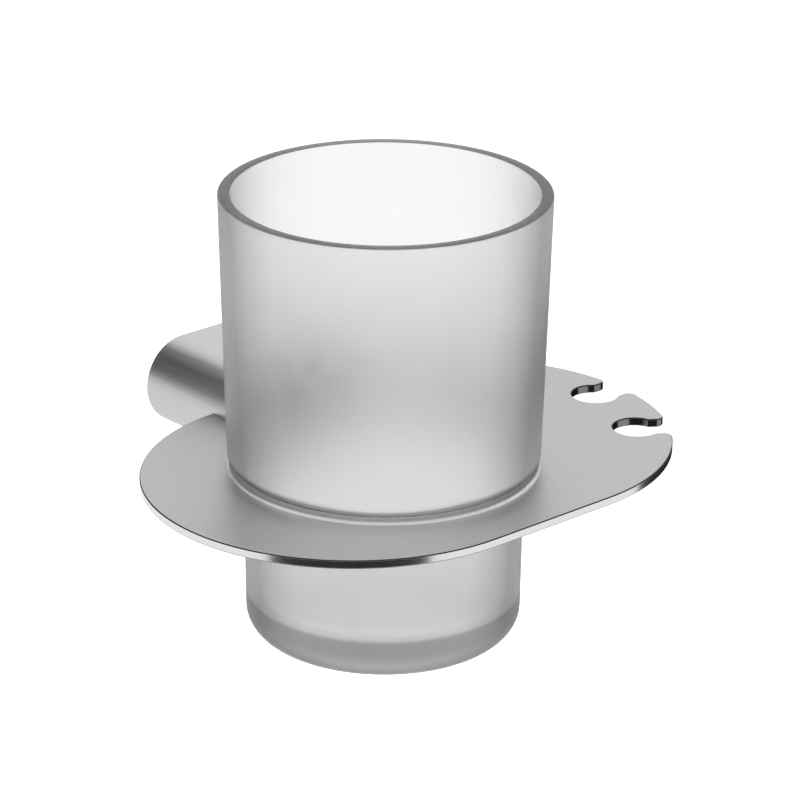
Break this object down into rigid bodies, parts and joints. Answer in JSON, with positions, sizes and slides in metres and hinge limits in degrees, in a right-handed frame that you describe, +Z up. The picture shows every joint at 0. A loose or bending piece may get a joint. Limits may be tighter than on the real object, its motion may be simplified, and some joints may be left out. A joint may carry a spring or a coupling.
{
  "type": "tumbler holder",
  "caption": "Wall-mounted holder: a frosted glass tumbler drops into a soft ring in a flat steel plate with round ends, and open notches beside it take toothbrushes.",
  "frame": {"origin": "on the wall, at the middle of the post's section, half way between the wall screws", "axes": "+X along the wall to the right, +Y into the wall, +Z up"},
  "size_m": [0.1273, 0.1172, 0.103],
  "materials": {
    "frosted_glass": "satin-etched outside, polished rim",
    "clear_seat": "clear, soft",
    "plate_steel": "fine satin brush along the plate",
    "post_steel": "fine satin brush along the post",
    "bracket_aluminium": "as cast",
    "screw_steel": "bright"
  },
  "bodies": {
    "holder": {"seat_ring": "clear_seat", "holder_plate": "plate_steel", "post_body": "post_steel", "wall_bracket": "bracket_aluminium", "grub_screw": "screw_steel", "clamp_screw_left": "screw_steel", "clamp_screw_right": "screw_steel"},
    "tumbler": {"glass_tumbler": "frosted_glass"}
  },
  "joints": [
    {"name": "tumbler_lift", "type": "slide", "parent": "holder", "child": "tumbler", "axis": [0, 0, 1], "range_m": [0, 0.06]}
  ]
}
